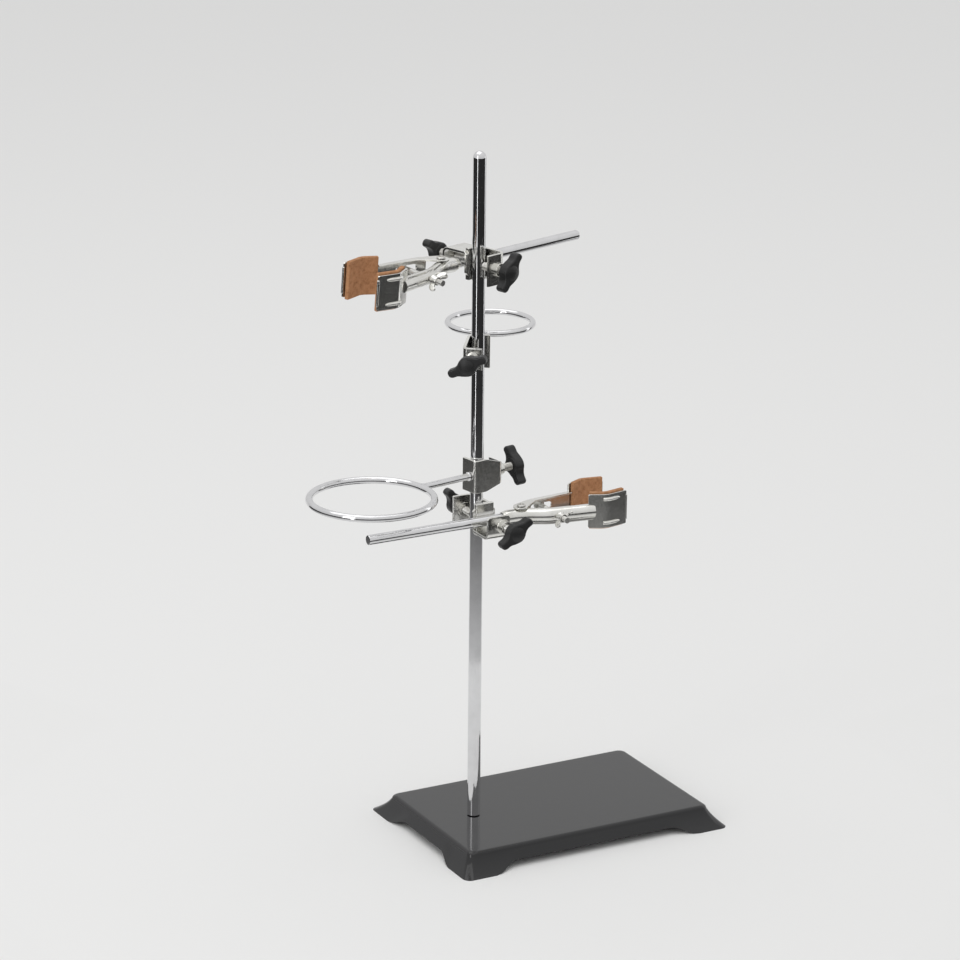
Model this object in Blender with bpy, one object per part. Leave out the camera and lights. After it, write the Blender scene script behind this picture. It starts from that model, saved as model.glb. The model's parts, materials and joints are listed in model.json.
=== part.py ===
"""Retort stand: stamped base, chrome rod, two boss heads with two-prong clamps, two support rings.

Lengths are in millimetres until a mesh is made; MM turns them into metres.
+Z is up, +X runs along the long side of the base, and the origin is the middle of the whole
assembly's bounding box at floor level.  Each holder is designed about the rod's axis.
"""
import bmesh
import bpy
import math
from mathutils import Matrix, Vector

MM = 0.001
GAP = 0.3                    # free space between touching pieces
ROUND = 20                   # sides of a small round piece

# Base
PLATE_LENGTH = 190.0
PLATE_WIDTH = 121.0
PLATE_HEIGHT = 14.0
FOOT_LENGTH = 208.0          # over the foot tips, along X
FOOT_WIDTH = 145.0
SHEET = 1.6
HEM = 2.4                     # folded lower edge of the skirt
SKIRT_CLEARANCE = 5.0        # skirt's lower edge above the floor between the feet
CORNER_RADIUS = 5.0
FOOT_REACH = 27.0            # how far a foot runs along each side from its corner
ROD_OFFSET = 60.0            # rod's axis from the middle of the base

# Rod and its fixing
ROD_RADIUS = 4.5
ROD_TOP = 485.5
STUD_RADIUS = 2.8
STUD_END = 4.6
NUT_FLATS = 10.0
NUT_HEIGHT = 5.0
WASHER_RADIUS = 6.5
WASHER_THICKNESS = 1.0

# Rings: reach is from the rod's axis to the ring's centre
SMALL_RING_HEIGHT = 347.3
SMALL_RING_TURN = 50.0
SMALL_RING_REACH = 40.0
SMALL_RING_OUTER = 31.0
SMALL_RING_WIRE = 2.15
SMALL_RING_LIFT = 10.5       # ring plane above the bracket's middle
BIG_RING_HEIGHT = 262.5
BIG_RING_TURN = 190.6
BIG_RING_REACH = 89.0
BIG_RING_OUTER = 44.0
BIG_RING_WIRE = 2.5
BIG_RING_LIFT = -0.5
STEM_RADIUS = 2.5

# Ring bracket
BRACKET_HALF_HEIGHT = 11.5
BRACKET_NOSE_HALF_HEIGHT = 7.0
BRACKET_HALF_WIDTH = 7.2
BRACKET_SHEET = 2.0
BRACKET_DEPTH = 17.0         # rod's axis to the outer face of the screw wall
BRACKET_KNOB_REACH = 33.0

# Boss head
BOSS_SPACING = 12.0          # between the stand rod's axis and the clamp rod's axis
BOSS_SHEET = 2.0
BOSS_HALF_HEIGHT = 11.0
BOSS_WALL_REACH = 16.0       # clamped rod's axis to the outer face of its screw wall
BOSS_TOP_EDGE = 8.7          # back plate above the clamp rod's axis
HOOK_START = -10.5           # ends of the horizontal hook along the clamp rod
HOOK_END = 6.5
HOOK_DEPTH = 9.0             # hook's floor below the clamp rod's axis
WEB_LONG = 9.0               # reach of the web and screw wall to either side
WEB_SHORT = 4.5
ARM_SCREW_SHIFT = -5.5       # that hook's screw along the clamp rod
COLLAR_RADIUS = 4.6
COLLAR_LENGTH = 5.0
UPPER_BOSS_HEIGHT = 408.2
UPPER_BOSS_TURN = 17.0
LOWER_BOSS_HEIGHT = 232.5
LOWER_BOSS_TURN = 180.7
BOSS_ROD_KNOB_REACH = 28.0   # knob's middle from the stand rod's axis
BOSS_ARM_KNOB_REACH = 32.0   # knob's middle from the clamp rod's axis

# Thumb screws
SCREW_RADIUS = 2.8
SCREW_HOLE_RADIUS = 3.1
KNOB_HUB_RADIUS = 6.5
KNOB_HALF_SPAN = 14.0
KNOB_WING_WIDTH = 5.4
KNOB_THICKNESS = 7.6
KNOB_SKEW = 0.8              # sideways offset of each wing

# Two-prong clamp, along its own rod: jaws towards +x, moving jaw on the +y side
CLAMP_ROD_RADIUS = 3.45
CLAMP_ROD_END = 22.5
ARM_RADIUS = 5.0
ARM_SOCKET_RADIUS = 3.8
JAW_HEIGHT = 24.0
JAW_SHEET = 1.3
CORK_THICKNESS = 3.0
CORK_HEIGHT = 26.0
PIVOT = (28.0, 0.0)
PIVOT_RADIUS = 1.5
PIVOT_HOLE_RADIUS = 1.85
EAR_SHEET = 1.2
EAR_RADIUS = 5.5
BOLT_X = 50.0
BOLT_RADIUS = 2.0
BOLT_HOLE_RADIUS = 2.4
BOLT_FRONT = -25.0
BOLT_BACK = 13.5             # underside of the bolt's head
BOLT_HEAD_RADIUS = 4.0
BOLT_HEAD_THICKNESS = 2.6
WING_NUT_RADIUS = 3.6
WING_NUT_HEIGHT = 4.6
WING_NUT_HALF_SPAN = 8.0
WING_NUT_FACE = -15.4        # face towards the fixed arm
LOWER_CLAMP_TAIL = 89.0
UPPER_CLAMP_TAIL = 107.0
UPPER_CLAMP_SHIFT = -4.0     # slid back through its boss head
UPPER_CLAMP_ROLL = 5.0

Z_AXIS = Vector((0.0, 0.0, 1.0))


def big_ring_far_side():
    """Lowest x that the big ring reaches, from the rod's axis."""
    turn = math.radians(BIG_RING_TURN)
    return BIG_RING_REACH * math.cos(turn) - BIG_RING_OUTER


BASE_FAR_SIDE = ROD_OFFSET + FOOT_LENGTH / 2
ROD_X = -(big_ring_far_side() + BASE_FAR_SIDE) / 2


# ---------------------------------------------------------------- materials
def material(name, colour, roughness, metallic):
    made = bpy.data.materials.new(name)
    made.use_nodes = True
    shader = made.node_tree.nodes["Principled BSDF"]
    shader.inputs["Base Color"].default_value = (*colour, 1.0)
    shader.inputs["Roughness"].default_value = roughness
    shader.inputs["Metallic"].default_value = metallic
    return made


def make_materials():
    return {
        "enamel": material("black_enamel", (0.012, 0.012, 0.014), 0.25, 0.0),
        "chrome": material("chrome", (0.62, 0.62, 0.62), 0.08, 1.0),
        "nickel": material("nickel_plate", (0.72, 0.71, 0.67), 0.25, 1.0),
        "zinc": material("zinc_screws", (0.60, 0.59, 0.56), 0.35, 1.0),
        "plastic": material("black_plastic", (0.012, 0.012, 0.012), 0.45, 0.0),
        "cork": material("cork", (0.42, 0.20, 0.09), 0.9, 0.0),
    }


# ---------------------------------------------------------------- mesh tools
def mesh_from(points, faces):
    """A bmesh from points in millimetres, with its faces turned outwards."""
    made = bmesh.new()
    verts = [made.verts.new(Vector(point) * MM) for point in points]
    for face in faces:
        made.faces.new([verts[index] for index in face])
    bmesh.ops.recalc_face_normals(made, faces=made.faces)
    return made


def loft(rings, closed=False):
    """Solid through rings of equal length; closed joins the last ring to the first."""
    count = len(rings[0])
    points = [point for ring in rings for point in ring]
    faces = []
    spans = len(rings) if closed else len(rings) - 1
    for step in range(spans):
        here = step * count
        there = ((step + 1) % len(rings)) * count
        for side in range(count):
            after = (side + 1) % count
            faces.append((here + side, here + after, there + after, there + side))
    if not closed:
        faces.append(tuple(range(count)))
        faces.append(tuple(range(len(points) - count, len(points))))
    return mesh_from(points, faces)


def turned(profile, sides=ROUND):
    """Solid of revolution about z from (radius, z) points."""
    rings = []
    for radius, height in profile:
        rings.append([
            (radius * math.cos(step * math.tau / sides), radius * math.sin(step * math.tau / sides), height)
            for step in range(sides)
        ])
    return loft(rings)


def cylinder(radius, low, high, sides=ROUND):
    return turned([(radius, low), (radius, high)], sides)


def prism(outline, low, high):
    """Outline in x, y drawn out along z from low to high."""
    return loft([[(x, y, low) for x, y in outline], [(x, y, high) for x, y in outline]])


def torus(centre_radius, wire_radius, turns=44, sides=10):
    rings = []
    for turn in range(turns):
        angle = turn * math.tau / turns
        ring = []
        for side in range(sides):
            around = side * math.tau / sides
            radius = centre_radius + wire_radius * math.cos(around)
            ring.append((radius * math.cos(angle), radius * math.sin(angle), wire_radius * math.sin(around)))
        rings.append(ring)
    return loft(rings, closed=True)


def swept_round(path, radii, sides=16):
    """Round bar along a path of points in the x, y plane."""
    rings = []
    for index, (x, y) in enumerate(path):
        before = path[max(index - 1, 0)]
        after = path[min(index + 1, len(path) - 1)]
        along = Vector((after[0] - before[0], after[1] - before[1], 0.0)).normalized()
        across = Vector((-along.y, along.x, 0.0))
        ring = []
        for side in range(sides):
            angle = side * math.tau / sides
            spot = across * (radii[index] * math.cos(angle)) + Z_AXIS * (radii[index] * math.sin(angle))
            ring.append((x + spot.x, y + spot.y, spot.z))
        rings.append(ring)
    return loft(rings)


def thick_line(line, thickness):
    """Outline of a bent strip: the line itself and a copy shifted to its left."""
    shifted = []
    for index, (x, y) in enumerate(line):
        normals = []
        for start, end in ((index - 1, index), (index, index + 1)):
            if start < 0 or end >= len(line):
                continue
            run = Vector((line[end][0] - line[start][0], line[end][1] - line[start][1])).normalized()
            normals.append(Vector((-run.y, run.x)))
        normal = sum(normals, Vector((0.0, 0.0))).normalized()
        stretch = thickness / max(normal.dot(normals[0]), 0.3)
        shifted.append((x + normal.x * stretch, y + normal.y * stretch))
    return list(line) + shifted[::-1]


def arc(centre, radius, start, end, steps):
    """Points on an arc in degrees, both ends included."""
    points = []
    for step in range(steps + 1):
        angle = math.radians(start + (end - start) * step / steps)
        points.append((centre[0] + radius * math.cos(angle), centre[1] + radius * math.sin(angle)))
    return points


def capsule(start, end, radius, steps=8):
    """Round-ended bar outline between two points."""
    heading = math.degrees(math.atan2(end[1] - start[1], end[0] - start[0]))
    return (arc(end, radius, heading - 90, heading + 90, steps)
            + arc(start, radius, heading + 90, heading + 270, steps))


def moved(shape, matrix):
    """The bmesh, moved by a matrix whose shift is in millimetres."""
    scaled = matrix.copy()
    scaled.translation = matrix.translation * MM
    bmesh.ops.transform(shape, matrix=scaled, verts=shape.verts)
    return shape


def shift(x=0.0, y=0.0, z=0.0):
    return Matrix.Translation((x, y, z))


def turn(degrees, axis):
    return Matrix.Rotation(math.radians(degrees), 4, axis)


def temporary(shape):
    data = bpy.data.meshes.new("shape")
    shape.to_mesh(data)
    shape.free()
    made = bpy.data.objects.new("shape", data)
    bpy.context.scene.collection.objects.link(made)
    return made


def combined(first, steps):
    """Boolean steps, ('UNION' or 'DIFFERENCE' or 'INTERSECT', bmesh), carried out in order."""
    body = temporary(first)
    tools = []
    for operation, shape in steps:
        tool = temporary(shape)
        tools.append(tool)
        modifier = body.modifiers.new(operation, "BOOLEAN")
        modifier.operation = operation
        modifier.solver = "EXACT"
        modifier.object = tool
    bpy.context.view_layer.update()
    graph = bpy.context.evaluated_depsgraph_get()
    data = bpy.data.meshes.new_from_object(body.evaluated_get(graph))
    result = bmesh.new()
    result.from_mesh(data)
    for used in [body] + tools:
        used_mesh = used.data
        bpy.data.objects.remove(used)
        bpy.data.meshes.remove(used_mesh)
    bpy.data.meshes.remove(data)
    return result


def piece(name, shape, finish, matrix, parent):
    """Named object from a bmesh, placed by a matrix in millimetres under a parent."""
    bmesh.ops.remove_doubles(shape, verts=shape.verts, dist=1e-6)
    data = bpy.data.meshes.new(name)
    shape.to_mesh(data)
    shape.free()
    data.materials.append(finish)
    data.shade_smooth()
    data.set_sharp_from_angle(angle=math.radians(35))
    made = bpy.data.objects.new(name, data)
    bpy.context.scene.collection.objects.link(made)
    place(made, matrix, parent)
    return made


def place(made, matrix, parent):
    scaled = matrix.copy()
    scaled.translation = matrix.translation * MM
    made.parent = parent
    made.matrix_local = scaled


def holder(name, matrix, parent=None):
    """Empty that a group of pieces hangs from."""
    made = bpy.data.objects.new(name, None)
    bpy.context.scene.collection.objects.link(made)
    place(made, matrix, parent)
    return made


# ---------------------------------------------------------------- base and rod
def rounded_rectangle(half_x, half_y, radius, corner_steps, side_steps):
    """Closed outline, counter-clockwise, as (x, y, x of side, y of side) corner by corner."""
    points = []
    centres = ((1, 1, 0), (-1, 1, 90), (-1, -1, 180), (1, -1, 270))
    for index, (sign_x, sign_y, start) in enumerate(centres):
        centre = (sign_x * (half_x - radius), sign_y * (half_y - radius))
        points += arc(centre, radius, start, start + 90, corner_steps)
        following = centres[(index + 1) % 4]
        target = arc((following[0] * (half_x - radius), following[1] * (half_y - radius)), radius,
                     following[2], following[2], 1)[0]
        here = points[-1]
        for step in range(1, side_steps):
            share = step / side_steps
            points.append((here[0] + (target[0] - here[0]) * share, here[1] + (target[1] - here[1]) * share))
    return points


def foot_share(x, y):
    """1 at a corner, 0 along the sides, with a smooth step between."""
    from_corner = min(PLATE_LENGTH / 2 - abs(x), FOOT_LENGTH) + min(PLATE_WIDTH / 2 - abs(y), FOOT_WIDTH)
    ramp = (FOOT_REACH + 9.0 - from_corner) / 14.0
    ramp = min(max(ramp, 0.0), 1.0)
    return ramp * ramp * (3.0 - 2.0 * ramp)


def skirt_ring(outline, reach_x, reach_y, height, foot_drop, foot_flare):
    """Outline pushed out by the given reach, lower and wider at the feet."""
    ring = []
    for x, y in outline:
        share = foot_share(x, y)
        scale_x = (PLATE_LENGTH / 2 + reach_x + foot_flare[0] * share) / (PLATE_LENGTH / 2)
        scale_y = (PLATE_WIDTH / 2 + reach_y + foot_flare[1] * share) / (PLATE_WIDTH / 2)
        ring.append((x * scale_x, y * scale_y, height - foot_drop * share))
    return ring


def base_shape():
    outline = rounded_rectangle(PLATE_LENGTH / 2, PLATE_WIDTH / 2, CORNER_RADIUS, 6, 12)
    flare_x = (FOOT_LENGTH - PLATE_LENGTH) / 2
    flare_y = (FOOT_WIDTH - PLATE_WIDTH) / 2
    still = (0.0, 0.0)
    outer = [
        skirt_ring(outline, -4.0, -4.0, PLATE_HEIGHT, 0.0, still),
        skirt_ring(outline, -1.6, -1.6, PLATE_HEIGHT - 0.6, 0.0, still),
        skirt_ring(outline, -0.2, -0.2, PLATE_HEIGHT - 2.4, 0.4, still),
        skirt_ring(outline, 2.2, 2.2, PLATE_HEIGHT - 6.0, 2.0, (0.8, 1.6)),
        skirt_ring(outline, 4.4, 4.4, SKIRT_CLEARANCE, SKIRT_CLEARANCE, (flare_x - 4.4, flare_y - 4.4)),
    ]
    inner = [
        skirt_ring(outline, 4.4 - HEM, 4.4 - HEM, SKIRT_CLEARANCE, SKIRT_CLEARANCE,
                   (flare_x - 4.4, flare_y - 4.4)),
        skirt_ring(outline, 2.2 - SHEET, 2.2 - SHEET, PLATE_HEIGHT - 6.6, 2.0, (0.8, 1.6)),
        skirt_ring(outline, -4.6, -4.6, PLATE_HEIGHT - SHEET, 0.0, still),
    ]
    shell = loft(outer + inner)
    hole = cylinder(STUD_RADIUS + GAP, -1.0, PLATE_HEIGHT + 5.0)
    return combined(shell, [("DIFFERENCE", moved(hole, shift(-ROD_OFFSET)))])


def rod_shape():
    """Rod with a shoulder on the plate, a stud through it and a rounded top."""
    shoulder = PLATE_HEIGHT + GAP
    profile = [(STUD_RADIUS - 0.5, STUD_END), (STUD_RADIUS, STUD_END + 0.5), (STUD_RADIUS, shoulder)]
    profile.append((ROD_RADIUS, shoulder))
    crown = ROD_TOP - 5.0
    for across, rise in arc((0.0, 0.0), 1.0, 0, 80, 5):
        profile.append((ROD_RADIUS * across, crown + (ROD_TOP - crown) * rise / math.sin(math.radians(80))))
    return turned(profile, 24)


def nut_shape():
    radius = NUT_FLATS / 2 / math.cos(math.radians(30))
    top = PLATE_HEIGHT - SHEET - WASHER_THICKNESS - 2 * GAP
    body = cylinder(radius, top - NUT_HEIGHT, top, 6)
    return combined(body, [("DIFFERENCE", cylinder(STUD_RADIUS + GAP, 0.0, PLATE_HEIGHT))])


def washer_shape():
    top = PLATE_HEIGHT - SHEET - GAP
    body = cylinder(WASHER_RADIUS, top - WASHER_THICKNESS, top, 24)
    return combined(body, [("DIFFERENCE", cylinder(STUD_RADIUS + GAP, 0.0, PLATE_HEIGHT))])


# ---------------------------------------------------------------- thumb screws
def screw_shape(length):
    """Plain screw along +z from its tip."""
    tip = 1.0
    return turned([(SCREW_RADIUS - 0.8, 0.0), (SCREW_RADIUS, tip), (SCREW_RADIUS, length)], 16)


def knob_shape():
    """Two-winged knob about z, its back face at z = 0."""
    hub = cylinder(KNOB_HUB_RADIUS, 0.0, KNOB_THICKNESS + 1.2, 24)
    steps = []
    for side in (1, -1):
        tip = (side * (KNOB_HALF_SPAN - KNOB_WING_WIDTH / 2), side * KNOB_SKEW)
        root = (side * 2.0, side * KNOB_SKEW)
        wing = prism(capsule(root, tip, KNOB_WING_WIDTH / 2), 0.7, KNOB_THICKNESS)
        steps.append(("UNION", wing))
    return combined(hub, steps)


def thumb_screw(label, reach, rod_radius, finishes, matrix, parent, wing_turn):
    """Screw and knob along local +z from the axis of the rod that they clamp."""
    group = holder(label + "_screw_axis", matrix, parent)
    back = reach - KNOB_THICKNESS / 2
    tip = rod_radius + GAP
    piece(label + "_screw", screw_shape(back - GAP - tip), finishes["zinc"], shift(z=tip), group)
    piece(label + "_knob", knob_shape(), finishes["plastic"], shift(z=back) @ turn(wing_turn, "Z"), group)


# ---------------------------------------------------------------- boss heads
def boss_shape():
    """Two hooks back to back: one round the stand rod at the origin, one under the clamp rod."""
    saddle_front = ROD_RADIUS + GAP
    saddle_back = BOSS_SPACING - CLAMP_ROD_RADIUS - GAP
    half = BOSS_HALF_HEIGHT
    side = -(ROD_RADIUS + 1.5)
    web = prism([(-WEB_LONG, saddle_front), (WEB_SHORT, saddle_front), (WEB_SHORT, saddle_back),
                 (-WEB_LONG, saddle_back)], -half, half)

    # Hook round the stand rod, seen from above: side wall, then the screw wall in front.
    bend = 4.0
    wall = BOSS_WALL_REACH
    line = [(side, saddle_back - 1.0), (side, -wall + bend)]
    line += arc((side + bend, -wall + bend), bend, 180, 270, 4)[1:]
    line += [(WEB_LONG, -wall)]
    shell = prism(thick_line(line, -BOSS_SHEET), -half + 0.4, half - 0.4)

    # Hook under the clamp rod, seen from its end: curved floor, then the screw wall behind.
    rod_y = BOSS_SPACING
    floor = -HOOK_DEPTH
    curve = 5.0
    back = rod_y + BOSS_WALL_REACH
    profile = [(saddle_front + 0.5, BOSS_TOP_EDGE), (saddle_front + 0.5, floor + 2.0)]
    profile += [(saddle_front + 2.5, floor)]
    profile += [(back - curve, floor)]
    profile += arc((back - curve, floor + curve), curve, 270, 360, 4)[1:]
    profile += [(back, BOSS_TOP_EDGE - 1.2)]
    hook = prism(thick_line(profile, BOSS_SHEET), HOOK_START, HOOK_END)
    hook = moved(hook, Matrix(((0, 0, 1, 0), (1, 0, 0, 0), (0, 1, 0, 0), (0, 0, 0, 1))))

    front_collar = moved(cylinder(COLLAR_RADIUS, -1.0, COLLAR_LENGTH), shift(y=-wall) @ turn(90, "X"))
    back_collar = moved(cylinder(COLLAR_RADIUS, -1.0, COLLAR_LENGTH),
                        shift(x=ARM_SCREW_SHIFT, y=back) @ turn(-90, "X"))
    front_hole = moved(cylinder(SCREW_HOLE_RADIUS, 6.0, 40.0), turn(90, "X"))
    back_hole = moved(cylinder(SCREW_HOLE_RADIUS, 6.0, 40.0),
                      shift(x=ARM_SCREW_SHIFT, y=rod_y) @ turn(-90, "X"))
    return combined(web, [
        ("UNION", shell), ("UNION", hook), ("UNION", front_collar), ("UNION", back_collar),
        ("DIFFERENCE", front_hole), ("DIFFERENCE", back_hole),
    ])


def boss_head(label, height, heading, casting, finishes, root):
    """Boss head at a height, with its clamp rod direction turned from +X."""
    group = holder(label + "_boss", shift(z=height) @ turn(heading, "Z"), root)
    piece(label + "_boss_body", boss_shape(), finishes["nickel"], casting, group)
    thumb_screw(label + "_boss_rod", BOSS_ROD_KNOB_REACH, ROD_RADIUS, finishes,
                casting @ turn(90, "X"), group, 55.0)
    thumb_screw(label + "_boss_arm", BOSS_ARM_KNOB_REACH, CLAMP_ROD_RADIUS, finishes,
                casting @ shift(x=ARM_SCREW_SHIFT, y=BOSS_SPACING) @ turn(-90, "X"), group, 35.0)
    return holder(label + "_clamp_axis", shift(y=BOSS_SPACING), group)


# ---------------------------------------------------------------- rings
def bracket_shape():
    """Open hook round the rod at the origin: saddle plate at +x, screw wall at -x."""
    inner = ROD_RADIUS + GAP
    side = BRACKET_HALF_WIDTH
    bend = 3.0
    wall = BRACKET_DEPTH
    line = [(inner + BRACKET_SHEET, -side), (inner + BRACKET_SHEET, side - bend)]
    line += arc((inner + BRACKET_SHEET - bend, side - bend), bend, 0, 90, 4)[1:]
    line += arc((-wall + bend, side - bend), bend, 90, 180, 4)
    line += [(-wall, -side + 1.0)]
    strip = prism(thick_line(line, BRACKET_SHEET), -BRACKET_HALF_HEIGHT, BRACKET_HALF_HEIGHT)
    low = BRACKET_NOSE_HALF_HEIGHT
    high = BRACKET_HALF_HEIGHT - 0.2
    pentagon = [(-wall - 9.0, -low), (-wall, -low), (-2.0, -high), (9.0, -high),
                (9.0, high), (-2.0, high), (-wall, low), (-wall - 9.0, low)]
    limit = moved(prism(pentagon, -20.0, 20.0), turn(90, "X"))
    collar = moved(cylinder(COLLAR_RADIUS, -1.0, COLLAR_LENGTH - 1.0), shift(x=-wall) @ turn(-90, "Y"))
    hole = moved(cylinder(SCREW_HOLE_RADIUS, 6.0, 40.0), turn(-90, "Y"))
    return combined(strip, [("INTERSECT", limit), ("UNION", collar), ("DIFFERENCE", hole)])


def ring_shape(reach, outer, wire, stem_start):
    """Ring centred at x = reach with a stem back towards the bracket."""
    ring = moved(torus(outer - wire, wire), shift(x=reach))
    stem_end = reach - outer + wire
    stem = moved(cylinder(STEM_RADIUS - 0.15, stem_start, stem_end, 14), turn(90, "Y"))
    return combined(ring, [("UNION", stem)])


def ring_holder(label, height, heading, size, finishes, root, wing_turn):
    reach, outer, wire, lift = size
    group = holder(label + "_holder", shift(z=height) @ turn(heading, "Z"), root)
    piece(label + "_bracket", bracket_shape(), finishes["nickel"], Matrix(), group)
    stem_start = ROD_RADIUS + BRACKET_SHEET + 2 * GAP
    piece(label, ring_shape(reach, outer, wire, stem_start), finishes["chrome"], shift(z=lift), group)
    thumb_screw(label, BRACKET_KNOB_REACH, ROD_RADIUS, finishes, turn(-90, "Y"), group, wing_turn)


# ---------------------------------------------------------------- two-prong clamps
ARM_PATH = [(13.0, 0.0), (16.0, 0.0), (24.0, -0.2), (31.0, -2.2), (38.0, -5.6), (45.0, -8.6),
            (56.0, -10.4), (77.0, -13.6)]
FIXED_JAW_LINE = [(73.0, -13.2), (84.5, -18.6), (101.0, -15.6)]
MOVING_JAW_LINE = [(73.0, 13.2), (84.5, 18.6), (101.0, 15.6)]


def fixed_arm_shape():
    """Rolled arm with a socket for the clamp rod, ending in a bent jaw plate."""
    radii = [ARM_RADIUS - 1.1] + [ARM_RADIUS] * (len(ARM_PATH) - 1)
    arm = swept_round(ARM_PATH, radii)
    plate = prism(thick_line(FIXED_JAW_LINE, -JAW_SHEET), -JAW_HEIGHT / 2, JAW_HEIGHT / 2)
    room = thick_line(FIXED_JAW_LINE, 20.0)
    clear = prism(room, -JAW_HEIGHT, JAW_HEIGHT)
    socket = moved(cylinder(ARM_SOCKET_RADIUS, 5.0, CLAMP_ROD_END + GAP), turn(90, "Y"))
    pin_hole = moved(cylinder(PIVOT_HOLE_RADIUS, -20.0, 20.0), shift(*PIVOT))
    bolt_hole = moved(cylinder(BOLT_HOLE_RADIUS, -30.0, 30.0), shift(x=BOLT_X) @ turn(90, "X"))
    return combined(arm, [
        ("DIFFERENCE", clear), ("UNION", plate), ("DIFFERENCE", socket),
        ("DIFFERENCE", pin_hole), ("DIFFERENCE", bolt_hole),
    ])


def cork_shape(line, side):
    """Cork lining on the inner face of a jaw; side is 1 where the jaw faces +y."""
    start = [(x, y + side * GAP) for x, y in line]
    trimmed = [(start[0][0] + 1.0, start[0][1]), start[1], (start[2][0] - 1.0, start[2][1])]
    return prism(thick_line(trimmed, side * CORK_THICKNESS), -CORK_HEIGHT / 2, CORK_HEIGHT / 2)


def moving_arm_shape():
    """Channel arm: two ears on the pivot, a web on the far side and a bent jaw plate."""
    ear_low = ARM_RADIUS + GAP
    ear_high = ear_low + EAR_SHEET
    spine = [(34.0, 8.6), (45.0, 11.4), (77.0, 14.2)]
    far = thick_line(spine, -JAW_SHEET)
    web = prism(far, -ear_high + 0.05, ear_high - 0.05)
    ear = [(PIVOT[0] + 1.0, -EAR_RADIUS)]
    ear += [(36.0, 1.0), (44.0, 7.2), (74.0, 10.4), (76.5, 14.1), (45.0, 11.4), (34.0, 8.6), (25.0, 5.0)]
    ear += arc(PIVOT, EAR_RADIUS, 130, 280, 7)[1:-1]
    plate = prism(thick_line(MOVING_JAW_LINE, JAW_SHEET), -JAW_HEIGHT / 2, JAW_HEIGHT / 2)
    clear = prism(thick_line(MOVING_JAW_LINE, -20.0), -JAW_HEIGHT, JAW_HEIGHT)
    pin_hole = moved(cylinder(PIVOT_HOLE_RADIUS, -20.0, 20.0), shift(*PIVOT))
    slot = prism(capsule((-7.0, 0.0), (6.0, 0.0), BOLT_HOLE_RADIUS), -20.0, 10.0)
    slot = moved(slot, shift(x=BOLT_X) @ turn(90, "X"))
    return combined(web, [
        ("UNION", prism(ear, ear_low, ear_high)), ("UNION", prism(ear, -ear_high, -ear_low)),
        ("DIFFERENCE", clear), ("UNION", plate), ("DIFFERENCE", pin_hole), ("DIFFERENCE", slot),
    ])


def rivet_shape():
    """Pivot pin through both ears, with a head at each end."""
    inner = ARM_RADIUS + EAR_SHEET + 2 * GAP
    head = 3.0
    outer = inner + 1.0
    return turned([(head * 0.7, -outer), (head, -inner - 0.4), (head, -inner), (PIVOT_RADIUS, -inner),
                   (PIVOT_RADIUS, inner), (head, inner), (head, inner + 0.4), (head * 0.7, outer)], 16)


def bolt_shape():
    """Clamping bolt along z: head at the top, thread below."""
    return turned([(BOLT_RADIUS - 0.4, BOLT_FRONT), (BOLT_RADIUS, BOLT_FRONT + 0.5), (BOLT_RADIUS, BOLT_BACK),
                   (BOLT_HEAD_RADIUS, BOLT_BACK + 0.6),
                   (BOLT_HEAD_RADIUS, BOLT_BACK + BOLT_HEAD_THICKNESS)], 16)


def wing_nut_shape():
    """Wing nut about z, its flat face at z = 0."""
    hub = turned([(WING_NUT_RADIUS, 0.0), (WING_NUT_RADIUS * 0.8, WING_NUT_HEIGHT)], 16)
    steps = []
    for side in (1, -1):
        root = (side * 2.4, 2.2)
        tip = (side * (WING_NUT_HALF_SPAN - 2.4), 4.8)
        wing = moved(prism(capsule(root, tip, 2.2, 6), -0.8, 0.8), turn(90, "X"))
        steps.append(("UNION", wing))
    steps.append(("DIFFERENCE", cylinder(BOLT_RADIUS + GAP, -2.0, 12.0, 16)))
    return combined(hub, steps)


def clamp(label, tail, matrix, finishes, parent, wing_turn):
    group = holder(label + "_clamp", matrix, parent)
    rod = turned([(CLAMP_ROD_RADIUS - 0.6, -tail), (CLAMP_ROD_RADIUS, -tail + 0.6),
                  (CLAMP_ROD_RADIUS, CLAMP_ROD_END)])
    piece(label + "_clamp_rod", moved(rod, turn(90, "Y")), finishes["chrome"], Matrix(), group)
    piece(label + "_clamp_fixed_arm", fixed_arm_shape(), finishes["nickel"], Matrix(), group)
    piece(label + "_clamp_fixed_cork", cork_shape(FIXED_JAW_LINE, 1), finishes["cork"], Matrix(), group)
    jaw = holder(label + "_clamp_jaw_pivot", shift(*PIVOT), group)
    back = shift(-PIVOT[0], -PIVOT[1])
    piece(label + "_clamp_moving_arm", moving_arm_shape(), finishes["nickel"], back, jaw)
    piece(label + "_clamp_moving_cork", cork_shape(MOVING_JAW_LINE, -1), finishes["cork"], back, jaw)
    piece(label + "_clamp_pivot_rivet", rivet_shape(), finishes["zinc"], shift(*PIVOT), group)
    across = shift(x=BOLT_X) @ turn(-90, "X")
    piece(label + "_clamp_bolt", bolt_shape(), finishes["zinc"], across, group)
    nut_place = shift(x=BOLT_X, y=WING_NUT_FACE) @ turn(90, "X") @ turn(wing_turn, "Z")
    piece(label + "_clamp_wing_nut", wing_nut_shape(), finishes["nickel"], nut_place, group)


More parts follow.
